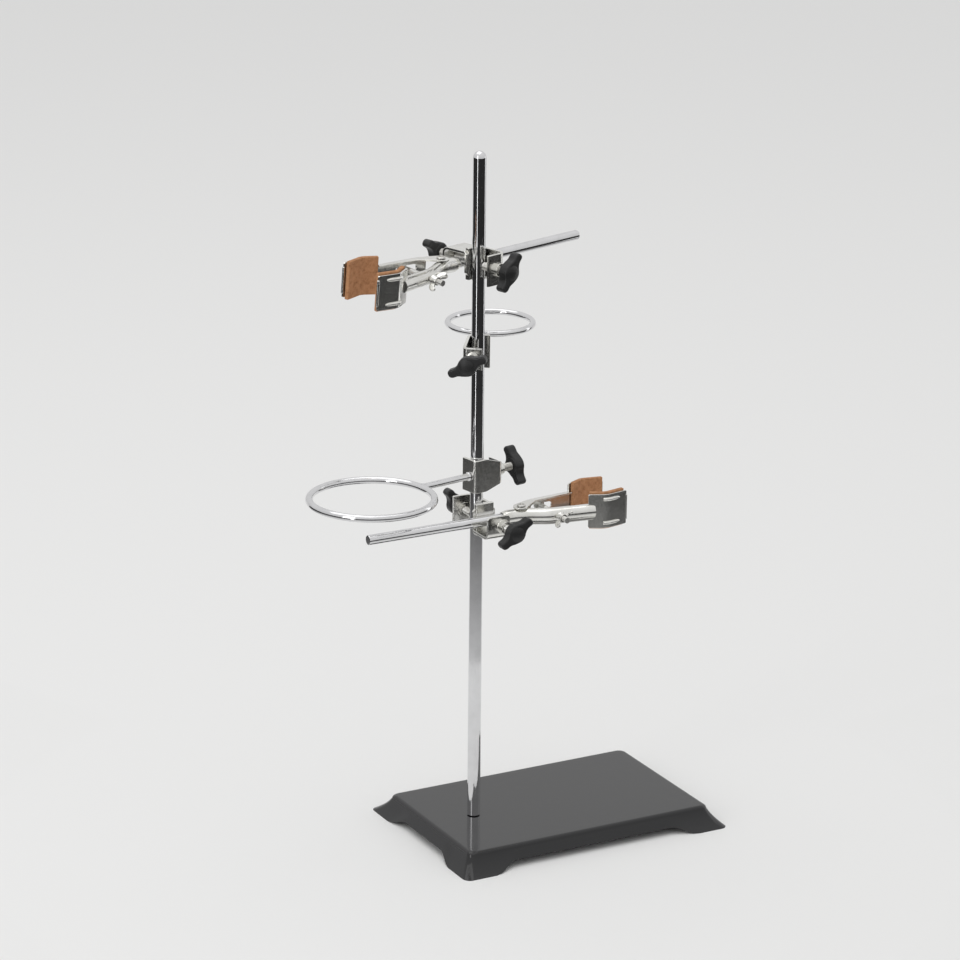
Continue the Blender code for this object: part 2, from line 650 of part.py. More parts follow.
# ---------------------------------------------------------------- assembly
def build():
    for old in list(bpy.data.objects):
        bpy.data.objects.remove(old)
    finishes = make_materials()
    root = holder("rod_axis", shift(x=ROD_X))

    piece("base_plate", base_shape(), finishes["enamel"], shift(x=ROD_OFFSET), root)
    piece("stand_rod", rod_shape(), finishes["chrome"], Matrix(), root)
    piece("rod_nut", nut_shape(), finishes["zinc"], Matrix(), root)
    piece("rod_washer", washer_shape(), finishes["zinc"], Matrix(), root)

    small = (SMALL_RING_REACH, SMALL_RING_OUTER, SMALL_RING_WIRE, SMALL_RING_LIFT)
    ring_holder("small_ring", SMALL_RING_HEIGHT, SMALL_RING_TURN, small, finishes, root, 115.0)
    big = (BIG_RING_REACH, BIG_RING_OUTER, BIG_RING_WIRE, BIG_RING_LIFT)
    ring_holder("big_ring", BIG_RING_HEIGHT, BIG_RING_TURN, big, finishes, root, -33.0)

    upper = boss_head("upper", UPPER_BOSS_HEIGHT, UPPER_BOSS_TURN, turn(180, "Y"), finishes, root)
    facing = turn(180, "Z") @ turn(180 - UPPER_CLAMP_ROLL, "X") @ shift(x=UPPER_CLAMP_SHIFT)
    clamp("upper", UPPER_CLAMP_TAIL + UPPER_CLAMP_SHIFT, facing, finishes, upper, 40.0)
    lower = boss_head("lower", LOWER_BOSS_HEIGHT, LOWER_BOSS_TURN, Matrix(), finishes, root)
    clamp("lower", LOWER_CLAMP_TAIL, turn(180, "Z"), finishes, lower, 40.0)
    bpy.context.view_layer.update()


build()
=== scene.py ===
"""Looks of the retort stand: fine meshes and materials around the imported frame.

Lengths are in millimetres until a mesh is made; MM turns them into metres.  Holders are placed from
the frame's own joints, so every piece lies where the CAD part puts it.
"""
import json
import math

import bmesh
import bpy
from mathutils import Matrix, Vector


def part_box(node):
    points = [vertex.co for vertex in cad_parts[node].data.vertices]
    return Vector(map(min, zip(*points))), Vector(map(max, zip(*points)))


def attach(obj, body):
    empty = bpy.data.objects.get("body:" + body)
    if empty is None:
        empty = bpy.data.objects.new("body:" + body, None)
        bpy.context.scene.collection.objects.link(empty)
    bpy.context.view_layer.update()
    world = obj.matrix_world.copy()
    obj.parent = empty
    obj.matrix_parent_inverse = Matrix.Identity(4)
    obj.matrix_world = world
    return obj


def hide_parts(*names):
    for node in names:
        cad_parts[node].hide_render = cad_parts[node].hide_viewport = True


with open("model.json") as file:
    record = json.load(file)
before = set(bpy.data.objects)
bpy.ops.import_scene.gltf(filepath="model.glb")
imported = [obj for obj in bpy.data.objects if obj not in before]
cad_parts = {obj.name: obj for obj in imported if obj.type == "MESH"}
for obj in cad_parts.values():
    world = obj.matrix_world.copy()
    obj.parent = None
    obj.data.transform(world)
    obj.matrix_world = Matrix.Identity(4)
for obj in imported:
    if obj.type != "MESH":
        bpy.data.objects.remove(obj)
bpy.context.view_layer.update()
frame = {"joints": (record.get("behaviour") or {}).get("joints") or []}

MM = 0.001
Z_AXIS = Vector((0.0, 0.0, 1.0))
JOINTS = {joint["name"]: joint for joint in frame["joints"]}
GAP = 0.3


def middle(node):
    low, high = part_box(node)
    return (low + high) / 2


ROD_X = middle("stand_rod").x / MM
SMALL = 1e-9


# ---------------------------------------------------------------- node materials
class Surface:
    """A Principled material with helpers for procedural detail in object space."""

    def __init__(self, name, colour, roughness, metallic=0.0, **sockets):
        self.material = bpy.data.materials.new(name)
        self.material.use_nodes = True
        self.tree = self.material.node_tree
        self.shader = self.tree.nodes["Principled BSDF"]
        self.set("Base Color", (*colour, 1.0))
        self.set("Roughness", roughness)
        self.set("Metallic", metallic)
        for socket, value in sockets.items():
            self.set(socket.replace("_", " "), value)
        self.place = self.node("ShaderNodeTexCoord").outputs["Object"]

    def set(self, socket, value):
        self.shader.inputs[socket].default_value = value

    def node(self, kind, **settings):
        made = self.tree.nodes.new(kind)
        for name, value in settings.items():
            setattr(made, name, value)
        return made

    def link(self, output, socket):
        self.tree.links.new(output, socket)

    def stretched(self, scale):
        mapping = self.node("ShaderNodeMapping")
        mapping.inputs["Scale"].default_value = scale
        self.link(self.place, mapping.inputs["Vector"])
        return mapping.outputs["Vector"]

    def noise(self, scale, detail=4.0, roughness=0.55, stretch=(1.0, 1.0, 1.0), distortion=0.0):
        made = self.node("ShaderNodeTexNoise")
        made.inputs["Scale"].default_value = scale
        made.inputs["Detail"].default_value = detail
        made.inputs["Roughness"].default_value = roughness
        made.inputs["Distortion"].default_value = distortion
        self.link(self.stretched(stretch), made.inputs["Vector"])
        return made.outputs["Fac"]

    def voronoi(self, scale, feature="F1"):
        made = self.node("ShaderNodeTexVoronoi", feature=feature)
        made.inputs["Scale"].default_value = scale
        self.link(self.place, made.inputs["Vector"])
        return made.outputs["Distance"]

    def ramp(self, value, stops):
        made = self.node("ShaderNodeValToRGB")
        elements = made.color_ramp.elements
        while len(elements) < len(stops):
            elements.new(0.5)
        for element, (position, colour) in zip(elements, stops):
            element.position = position
            element.color = (*colour, 1.0)
        self.link(value, made.inputs["Fac"])
        return made.outputs["Color"]

    def levels(self, value, low, high, to_low, to_high):
        made = self.node("ShaderNodeMapRange")
        for name, number in zip(("From Min", "From Max", "To Min", "To Max"), (low, high, to_low, to_high)):
            made.inputs[name].default_value = number
        self.link(value, made.inputs["Value"])
        return made.outputs["Result"]

    def mix(self, share, first, second, blend="MIX"):
        made = self.node("ShaderNodeMix", data_type="RGBA", blend_type=blend)
        self.link(share, made.inputs["Factor"])
        for value, socket in ((first, made.inputs[6]), (second, made.inputs[7])):
            if isinstance(value, tuple):
                socket.default_value = (*value, 1.0)
            else:
                self.link(value, socket)
        return made.outputs[2]

    def bump(self, height, strength, distance):
        made = self.node("ShaderNodeBump")
        made.inputs["Strength"].default_value = strength
        made.inputs["Distance"].default_value = distance
        self.link(height, made.inputs["Height"])
        previous = self.shader.inputs["Normal"]
        if previous.is_linked:
            self.link(previous.links[0].from_socket, made.inputs["Normal"])
        self.link(made.outputs["Normal"], previous)

    def drive(self, socket, output):
        self.link(output, self.shader.inputs[socket])


def plated(name, clean, dull, roughness, grain, wear):
    """Bright plating: cloudy reflection, fine handling marks and a little darkening."""
    made = Surface(name, clean, roughness[0], 1.0)
    clouds = made.noise(90.0, 5.0)
    marks = made.noise(900.0, 3.0, 0.6, (1.0, 1.0, grain))
    made.drive("Base Color", made.mix(made.levels(clouds, 0.42, 0.72, 0.0, wear), clean, dull))
    made.drive("Roughness", made.levels(marks, 0.3, 0.75, roughness[0], roughness[1]))
    made.bump(marks, 0.05, 0.00006)
    made.bump(made.noise(260.0, 2.0), 0.05, 0.0002)
    return made.material


def enamel():
    made = Surface("black_enamel", (0.006, 0.006, 0.007), 0.12, Coat_Weight=0.2, Coat_Roughness=0.04,
                   Specular_IOR_Level=0.45)
    flow = made.noise(140.0, 2.0)
    dust = made.noise(1500.0, 2.0, 0.7)
    film = made.noise(14.0, 4.0)
    speck = made.levels(dust, 0.70, 0.80, 0.0, 0.25)
    made.drive("Base Color", made.mix(speck, (0.006, 0.006, 0.007), (0.06, 0.06, 0.06)))
    made.drive("Roughness", made.levels(film, 0.3, 0.75, 0.09, 0.20))
    made.bump(flow, 0.12, 0.0004)
    return made.material


def moulded_plastic():
    made = Surface("black_plastic", (0.016, 0.016, 0.017), 0.42, Specular_IOR_Level=0.5)
    grain = made.noise(2600.0, 3.0, 0.6)
    film = made.noise(120.0, 3.0)
    made.drive("Base Color", made.mix(made.levels(film, 0.4, 0.8, 0.0, 1.0), (0.007, 0.007, 0.0075),
                                      (0.015, 0.015, 0.0155)))
    made.drive("Roughness", made.levels(grain, 0.3, 0.8, 0.34, 0.55))
    made.bump(grain, 0.18, 0.00005)
    return made.material


def cork():
    made = Surface("cork", (0.43, 0.20, 0.10), 0.85, Specular_IOR_Level=0.25)
    cells = made.voronoi(620.0)
    clumps = made.noise(330.0, 5.0, 0.65)
    pits = made.noise(900.0, 3.0, 0.7)
    body = made.ramp(clumps, [(0.25, (0.20, 0.085, 0.036)), (0.45, (0.36, 0.170, 0.078)),
                              (0.62, (0.46, 0.235, 0.115)), (0.85, (0.58, 0.35, 0.20))])
    lighter = made.mix(made.levels(cells, 0.0, 0.6, 0.0, 0.35), body, (0.52, 0.27, 0.14))
    dark = made.levels(pits, 0.63, 0.70, 0.0, 0.85)
    made.drive("Base Color", made.mix(dark, lighter, (0.11, 0.045, 0.022)))
    made.bump(pits, 0.5, 0.0003)
    made.bump(cells, 0.35, 0.0002)
    return made.material


def make_finishes():
    return {
        "black_enamel": enamel(),
        "chrome": plated("chrome", (0.74, 0.74, 0.75), (0.60, 0.60, 0.61), (0.045, 0.13), 0.05, 0.5),
        "nickel_plate": plated("nickel_plate", (0.80, 0.795, 0.765), (0.66, 0.65, 0.61), (0.14, 0.27), 1.0,
                               0.7),
        "zinc_plate": plated("zinc_plate", (0.66, 0.655, 0.63), (0.40, 0.38, 0.34), (0.24, 0.42), 1.0, 0.9),
        "black_plastic": moulded_plastic(),
        "cork": cork(),
    }


FINISHES = make_finishes()


# ---------------------------------------------------------------- mesh tools
def mesh_from(points, faces):
    made = bmesh.new()
    verts = [made.verts.new(Vector(point) * MM) for point in points]
    for face in faces:
        made.faces.new([verts[index] for index in face])
    bmesh.ops.recalc_face_normals(made, faces=made.faces)
    return made


def loft(rings, closed=False):
    """Solid through rings of equal length; closed joins the last ring to the first."""
    count = len(rings[0])
    points = [point for ring in rings for point in ring]
    faces = []
    spans = len(rings) if closed else len(rings) - 1
    for step in range(spans):
        here = step * count
        there = ((step + 1) % len(rings)) * count
        for side in range(count):
            after = (side + 1) % count
            faces.append((here + side, here + after, there + after, there + side))
    if not closed:
        faces.append(tuple(range(count)))
        faces.append(tuple(range(len(points) - count, len(points))))
    return mesh_from(points, faces)


def turned(profile, sides=48):
    """Solid of revolution about z from (radius, z) points."""
    rings = []
    for radius, height in profile:
        rings.append([
            (radius * math.cos(step * math.tau / sides), radius * math.sin(step * math.tau / sides), height)
            for step in range(sides)
        ])
    return loft(rings)


def cylinder(radius, low, high, sides=40, edge=0.0):
    if not edge:
        return turned([(radius, low), (radius, high)], sides)
    profile = [(radius - edge + edge * math.sin(a), low + edge - edge * math.cos(a)) for a in quarter()]
    profile += [(radius - edge + edge * math.cos(a), high - edge + edge * math.sin(a)) for a in quarter()]
    return turned(profile, sides)


def quarter(steps=3):
    return [step * math.pi / 2 / steps for step in range(steps + 1)]


def arc(centre, radius, start, end, steps):
    """Points on an arc in degrees, both ends included."""
    points = []
    for step in range(steps + 1):
        angle = math.radians(start + (end - start) * step / steps)
        points.append((centre[0] + radius * math.cos(angle), centre[1] + radius * math.sin(angle)))
    return points


def rounded(outline, radius, steps=3):
    """Closed outline with its sharp corners replaced by small arcs of about the given radius."""
    points = []
    count = len(outline)
    for index in range(count):
        before = Vector(outline[index - 1])
        here = Vector(outline[index])
        after = Vector(outline[(index + 1) % count])
        back = before - here
        ahead = after - here
        bend = math.pi - back.angle(ahead, math.pi)
        reach = min(radius * math.tan(bend / 2), back.length * 0.45, ahead.length * 0.45)
        if bend < math.radians(20) or reach < 0.02:
            points.append((here.x, here.y))
            continue
        start = here + back.normalized() * reach
        end = here + ahead.normalized() * reach
        for step in range(steps + 1):
            share = step / steps
            spot = start * (1 - share) ** 2 + here * (2 * share * (1 - share)) + end * share ** 2
            points.append((spot.x, spot.y))
    return points


def inset(outline, distance):
    """Outline moved inwards; the outline runs counter-clockwise."""
    made = []
    count = len(outline)
    for index in range(count):
        before = Vector(outline[index - 1])
        here = Vector(outline[index])
        after = Vector(outline[(index + 1) % count])
        first = (here - before).normalized()
        second = (after - here).normalized()
        normal = Vector((-first.y, first.x)) + Vector((-second.y, second.x))
        if normal.length < SMALL:
            made.append((here.x, here.y))
            continue
        normal.normalize()
        lean = max(normal.dot(Vector((-first.y, first.x))), 0.5)
        spot = here + normal * (distance / lean)
        made.append((spot.x, spot.y))
    return made


def counter_clockwise(outline):
    area = 0.0
    for index, (x, y) in enumerate(outline):
        after = outline[(index + 1) % len(outline)]
        area += x * after[1] - after[0] * y
    return outline if area > 0 else outline[::-1]


def prism(outline, low, high, edge=0.0, corner=0.0):
    """Outline in x, y drawn out along z, with rounded rims and corners."""
    shape = counter_clockwise(list(outline))
    if corner:
        shape = rounded(shape, corner)
    if not edge:
        return loft([[(x, y, low) for x, y in shape], [(x, y, high) for x, y in shape]])
    rings = []
    for angle in quarter():
        ring = inset(shape, edge * (1 - math.sin(angle)))
        rings.append([(x, y, low + edge * (1 - math.cos(angle))) for x, y in ring])
    for angle in quarter():
        ring = inset(shape, edge * (1 - math.cos(angle)))
        rings.append([(x, y, high - edge * (1 - math.sin(angle))) for x, y in ring])
    return loft(rings)


def torus(centre_radius, wire_radius, turns=128, sides=24):
    rings = []
    for step in range(turns):
        angle = step * math.tau / turns
        ring = []
        for side in range(sides):
            around = side * math.tau / sides
            radius = centre_radius + wire_radius * math.cos(around)
            ring.append((radius * math.cos(angle), radius * math.sin(angle), wire_radius * math.sin(around)))
        rings.append(ring)
    return loft(rings, closed=True)


def smooth_path(points, per_span=6):
    """Catmull-Rom curve through the points."""
    ends = [points[0]] + list(points) + [points[-1]]
    made = []
    for index in range(1, len(ends) - 2):
        a, b, c, d = (Vector(ends[index + step]) for step in (-1, 0, 1, 2))
        for step in range(per_span):
            t = step / per_span
            spot = 0.5 * (2 * b + (c - a) * t + (2 * a - 5 * b + 4 * c - d) * t * t
                          + (3 * b - a - 3 * c + d) * t ** 3)
            made.append(tuple(spot))
    made.append(tuple(points[-1]))
    return made


def swept_round(path, radii, sides=32):
    """Round bar along a path of points in the x, y plane."""
    rings = []
    for index, (x, y) in enumerate(path):
        before = path[max(index - 1, 0)]
        after = path[min(index + 1, len(path) - 1)]
        along = Vector((after[0] - before[0], after[1] - before[1], 0.0)).normalized()
        across = Vector((-along.y, along.x, 0.0))
        ring = []
        for side in range(sides):
            angle = side * math.tau / sides
            spot = across * (radii[index] * math.cos(angle)) + Z_AXIS * (radii[index] * math.sin(angle))
            ring.append((x + spot.x, y + spot.y, spot.z))
        rings.append(ring)
    return loft(rings)


def thick_line(line, thickness):
    """Outline of a bent strip: the line itself and a copy shifted to its left."""
    shifted = []
    for index, (x, y) in enumerate(line):
        normals = []
        for start, end in ((index - 1, index), (index, index + 1)):
            if start < 0 or end >= len(line):
                continue
            run = Vector((line[end][0] - line[start][0], line[end][1] - line[start][1])).normalized()
            normals.append(Vector((-run.y, run.x)))
        normal = sum(normals, Vector((0.0, 0.0))).normalized()
        stretch = thickness / max(normal.dot(normals[0]), 0.3)
        shifted.append((x + normal.x * stretch, y + normal.y * stretch))
    return list(line) + shifted[::-1]


def capsule(start, end, radius, steps=14):
    heading = math.degrees(math.atan2(end[1] - start[1], end[0] - start[0]))
    return (arc(end, radius, heading - 90, heading + 90, steps)
            + arc(start, radius, heading + 90, heading + 270, steps))


def threaded(radius, low, high, pitch, sides=28):
    """Threaded bar about z: a helical groove that fades out towards two plain ends."""
    depth = 0.5 * pitch
    rows = max(int((high - low) / pitch * 6), 8)
    rings = []
    for row in range(rows + 1):
        height = low + (high - low) * row / rows
        fade = min((height - low) / (1.2 * pitch), (high - height) / (0.4 * pitch), 1.0)
        ring = []
        for side in range(sides):
            angle = side * math.tau / sides
            phase = (height / pitch - side / sides) % 1.0
            groove = depth * (1 - abs(2 * phase - 1)) * fade
            reach = radius - groove
            ring.append((reach * math.cos(angle), reach * math.sin(angle), height))
        rings.append(ring)
    return loft(rings)


def moved(shape, matrix):
    """The bmesh, moved by a matrix whose shift is in millimetres."""
    scaled = matrix.copy()
    scaled.translation = matrix.translation * MM
    bmesh.ops.transform(shape, matrix=scaled, verts=shape.verts)
    return shape


def shift(x=0.0, y=0.0, z=0.0):
    return Matrix.Translation((x, y, z))


def turn(degrees, axis):
    return Matrix.Rotation(math.radians(degrees), 4, axis)


def temporary(shape):
    data = bpy.data.meshes.new("shape")
    shape.to_mesh(data)
    shape.free()
    made = bpy.data.objects.new("shape", data)
    bpy.context.scene.collection.objects.link(made)
    return made


def evaluated(body):
    bpy.context.view_layer.update()
    graph = bpy.context.evaluated_depsgraph_get()
    return bpy.data.meshes.new_from_object(body.evaluated_get(graph))


def combined(first, steps):
    """Boolean steps, ('UNION' or 'DIFFERENCE' or 'INTERSECT', bmesh), carried out in order."""
    body = temporary(first)
    tools = []
    for operation, shape in steps:
        tool = temporary(shape)
        tools.append(tool)
        modifier = body.modifiers.new(operation, "BOOLEAN")
        modifier.operation = operation
        modifier.solver = "EXACT"
        modifier.object = tool
    data = evaluated(body)
    result = bmesh.new()
    result.from_mesh(data)
    for used in [body] + tools:
        used_mesh = used.data
        bpy.data.objects.remove(used)
        bpy.data.meshes.remove(used_mesh)
    bpy.data.meshes.remove(data)
    return result


def piece(name, shape, matrix, body, finish, *nodes, sharp=32.0):
    """Visible piece from a bmesh, placed in the row frame, riding on a body and replacing nodes."""
    bmesh.ops.remove_doubles(shape, verts=shape.verts, dist=2e-6)
    data = bpy.data.meshes.new(name)
    shape.to_mesh(data)
    shape.free()
    data.materials.append(FINISHES[finish])
    data.shade_smooth()
    data.set_sharp_from_angle(angle=math.radians(sharp))
    made = bpy.data.objects.new(name, data)
    bpy.context.scene.collection.objects.link(made)
    weighted = made.modifiers.new("flat_faces", "WEIGHTED_NORMAL")
    weighted.keep_sharp = True
    scaled = matrix.copy()
    scaled.translation = matrix.translation * MM
    made.matrix_world = scaled
    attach(made, body)
    if nodes:
        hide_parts(*nodes)
    return made


# ---------------------------------------------------------------- sizes shared with the frame
ROD_RADIUS = 4.5
PLATE_LENGTH, PLATE_WIDTH, PLATE_HEIGHT = 190.0, 121.0, 14.0
FOOT_LENGTH, FOOT_WIDTH = 208.0, 145.0
SHEET = 1.6
SKIRT_CLEARANCE = 5.0
CORNER_RADIUS = 5.0
FOOT_REACH = 27.0
ROD_OFFSET = 60.0
STUD_RADIUS = 2.8
SCREW_RADIUS = 2.8
COLLAR_RADIUS = 4.6
HOLE_RADIUS = 3.1
KNOB_HUB, KNOB_SPAN, KNOB_DEPTH = 6.5, 14.0, 7.6
CLAMP_ROD_RADIUS = 3.45
BOSS_SPACING = 12.0
ARM_RADIUS = 5.0
JAW_HEIGHT, JAW_SHEET = 24.0, 1.3
CORK_THICKNESS, CORK_HEIGHT = 3.0, 26.0
PIVOT_X = 28.0
BOLT_X = 50.0


# ---------------------------------------------------------------- base and rod
def rounded_rectangle(half_x, half_y, radius, corner_steps, side_steps):
    points = []
    centres = ((1, 1, 0), (-1, 1, 90), (-1, -1, 180), (1, -1, 270))
    for index, (sign_x, sign_y, start) in enumerate(centres):
        centre = (sign_x * (half_x - radius), sign_y * (half_y - radius))
        points += arc(centre, radius, start, start + 90, corner_steps)
        following = centres[(index + 1) % 4]
        target = arc((following[0] * (half_x - radius), following[1] * (half_y - radius)), radius,
                     following[2], following[2], 1)[0]
        here = points[-1]
        for step in range(1, side_steps):
            share = step / side_steps
            points.append((here[0] + (target[0] - here[0]) * share, here[1] + (target[1] - here[1]) * share))
    return points


def foot_share(x, y):
    """1 at a corner, 0 along the sides, with a smooth step between."""
    from_corner = PLATE_LENGTH / 2 - abs(x) + PLATE_WIDTH / 2 - abs(y)
    ramp = min(max((FOOT_REACH + 9.0 - from_corner) / 14.0, 0.0), 1.0)
    return ramp * ramp * (3.0 - 2.0 * ramp)


def skirt_ring(outline, reach, height, drop, flare):
    """Outline pushed out by reach, lower and wider at the feet."""
    ring = []
    for x, y in outline:
        share = foot_share(x, y)
        scale_x = (PLATE_LENGTH / 2 + reach + flare[0] * share) / (PLATE_LENGTH / 2)
        scale_y = (PLATE_WIDTH / 2 + reach + flare[1] * share) / (PLATE_WIDTH / 2)
        ring.append((x * scale_x, y * scale_y, height - drop * share))
    return ring


def skirt_profile(share):
    """Reach, height, foot drop and flare down the outside of the skirt, share 0 at the top."""
    flare_x = (FOOT_LENGTH - PLATE_LENGTH) / 2 - 4.4
    flare_y = (FOOT_WIDTH - PLATE_WIDTH) / 2 - 4.4
    reach = -0.2 + 4.6 * share
    height = PLATE_HEIGHT - 2.4 - (PLATE_HEIGHT - 2.4 - SKIRT_CLEARANCE) * share
    spread = share ** 2.2
    return reach, height, SKIRT_CLEARANCE * share ** 1.25, (flare_x * spread, flare_y * spread)


def build_base():
    outline = rounded_rectangle(PLATE_LENGTH / 2, PLATE_WIDTH / 2, CORNER_RADIUS, 20, 44)
    still = (0.0, 0.0)
    rings = [skirt_ring(outline, -9.0, PLATE_HEIGHT, 0.0, still)]
    for angle in quarter(7):
        rings.append(skirt_ring(outline, -3.4 + 3.2 * math.sin(angle),
                                PLATE_HEIGHT - 2.4 * (1 - math.cos(angle)), 0.0, still))
    steps = 10
    for step in range(1, steps + 1):
        rings.append(skirt_ring(outline, *skirt_profile(step / steps)))
    reach, height, drop, flare = skirt_profile(1.0)
    rings.append(skirt_ring(outline, reach - 2.4, height, drop, flare))
    for step in range(steps - 1, -1, -2):
        reach, height, drop, flare = skirt_profile(step / steps)
        rings.append(skirt_ring(outline, reach - SHEET, height - 0.6, drop, flare))
    rings.append(skirt_ring(outline, -9.0, PLATE_HEIGHT - SHEET, 0.0, still))
    shell = loft(rings)
    hole = moved(cylinder(STUD_RADIUS + GAP, 5.0, 20.0), shift(-ROD_OFFSET))
    piece("base_enamelled", combined(shell, [("DIFFERENCE", hole)]), shift(x=ROD_X + ROD_OFFSET),
          "stand", "black_enamel", "base_plate")


def build_rod():
    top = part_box("stand_rod")[1].z / MM
    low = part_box("stand_rod")[0].z / MM
    shoulder = PLATE_HEIGHT + GAP
    profile = [(STUD_RADIUS - 0.6, low), (STUD_RADIUS, low + 0.6)]
    height = low + 0.6
    while height < shoulder - 1.0:
        profile += [(STUD_RADIUS, height), (STUD_RADIUS - 0.5, height + 0.5)]
        height += 1.0
    profile += [(STUD_RADIUS, shoulder), (ROD_RADIUS - 0.4, shoulder), (ROD_RADIUS, shoulder + 0.4)]
    crown = top - 5.0
    for across, rise in arc((0.0, 0.0), 1.0, 0, 88, 14):
        profile.append((ROD_RADIUS * across, crown + 5.0 * rise))
    spaced = profile[:1]
    for point in profile[1:]:
        if (Vector(point) - Vector(spaced[-1])).length > 0.01:
            spaced.append(point)
    piece("rod_polished", turned(spaced, 72), shift(x=ROD_X), "stand", "chrome", "stand_rod")


def build_nut_and_washer():
    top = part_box("rod_nut")[1].z / MM
    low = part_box("rod_nut")[0].z / MM
    hexagon = cylinder(5.0 / math.cos(math.radians(30)), low, top, 6)
    chamfer = turned([(5.0, low), (5.75, low + 0.7), (5.75, top - 0.7), (5.0, top)], 48)
    bore = cylinder(STUD_RADIUS + GAP, low - 2, top + 2, 32)
    piece("nut_plated", combined(hexagon, [("INTERSECT", chamfer), ("DIFFERENCE", bore)]),
          shift(x=ROD_X), "stand", "zinc_plate", "rod_nut")
    low, top = (corner.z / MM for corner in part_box("rod_washer"))
    disc = cylinder(6.5, low, top, 64, 0.3)
    bore = cylinder(STUD_RADIUS + GAP, low - 2, top + 2, 32)
    piece("washer_plated", combined(disc, [("DIFFERENCE", bore)]), shift(x=ROD_X), "stand", "zinc_plate",
          "rod_washer")


# ---------------------------------------------------------------- thumb screws
def knob_outline():
    """Two-winged knob seen along its screw: round hub, tapering wings with round tips."""
    half = [(KNOB_HUB * math.cos(a), KNOB_HUB * math.sin(a)) for a in (-1.9, -1.57, -1.25, -0.95, -0.72)]
    half += [(6.6, -3.1), (8.6, -2.35), (10.8, -2.35), (12.6, -2.3), (13.7, -1.2), (KNOB_SPAN, 0.4)]
    half += [(13.6, 2.0), (12.2, 3.1), (10.4, 3.4), (8.6, 3.5), (6.9, 4.1), (5.4, 4.9)]
    return smooth_closed(half + [(-x, -y) for x, y in half])


def knob_shape():
    outline = knob_outline()
    edge = 1.2
    rings = []
    for angle in quarter(5):
        ring = inset(outline, edge * (1 - math.sin(angle)))
        rings.append([(x, y, 0.5 + edge * (1 - math.cos(angle))) for x, y in ring])
    for angle in quarter(5):
        ring = inset(outline, edge * (1 - math.cos(angle)))
        rings.append([(x, y, KNOB_DEPTH - edge * (1 - math.sin(angle))) for x, y in ring])
    body = loft(rings)
    dome = [(5.6, 0.0), (5.9, 0.4), (5.9, 6.2)]
    dome += [(5.9 * math.cos(a), 6.9 + 1.8 * math.sin(a)) for a in quarter(5)[:-1]]
    dome += [(0.9, 8.75)]
    return combined(body, [("UNION", turned(dome, 48))])


def build_thumb_screw(label, wing_turn, casting=Matrix()):
    """Threaded screw and its knob, placed from the knob's own joint."""
    joint = JOINTS[label + "_knob_turn"]
    axis = Vector(joint["axis"])
    heading = math.degrees(math.atan2(axis.y, axis.x)) + 90.0
    spot = Vector(joint["pos_m"]) / MM
    across = Matrix.Translation(spot) @ turn(heading, "Z") @ casting @ turn(90, "X")
    if label.endswith("_ring"):
        across = Matrix.Translation(spot) @ turn(heading + 90.0, "Z") @ turn(-90, "Y")
    if label.endswith("_arm"):
        across = Matrix.Translation(spot) @ turn(heading + 180.0, "Z") @ casting @ turn(-90, "X")
    corners = [Vector(corner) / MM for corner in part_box(label + "_screw")]
    sides = [Vector((x, y, spot.z)) for x in (corners[0].x, corners[1].x)
             for y in (corners[0].y, corners[1].y)]
    tip = min((corner - spot).dot(axis) for corner in sides)
    tip += SCREW_RADIUS * (abs(axis.x * axis.y) * 2.0)
    back = -KNOB_DEPTH / 2
    screw = threaded(SCREW_RADIUS, tip + 0.3, back - 0.1, 1.0)
    piece(label + "_screw_threaded", screw, across, label + "_screw", "zinc_plate", label + "_screw",
          sharp=80.0)
    piece(label + "_knob_moulded", knob_shape(), across @ shift(z=back) @ turn(wing_turn, "Z"),
          label + "_knob", "black_plastic", label + "_knob", sharp=50.0)


# ---------------------------------------------------------------- boss heads
def collar():
    """Threaded collar drawn out of a wall, with a flared root, from z = -1."""
    length = 5.0
    return turned([(5.0, -1.0), (5.0, 0.0), (4.85, 0.25), (4.7, 0.8), (COLLAR_RADIUS, 2.0),
                   (COLLAR_RADIUS, length - 0.5), (COLLAR_RADIUS - 0.15, length - 0.15),
                   (COLLAR_RADIUS - 0.5, length)], 48)


def screw_hole():
    return cylinder(HOLE_RADIUS, 6.0, 40.0, 40)


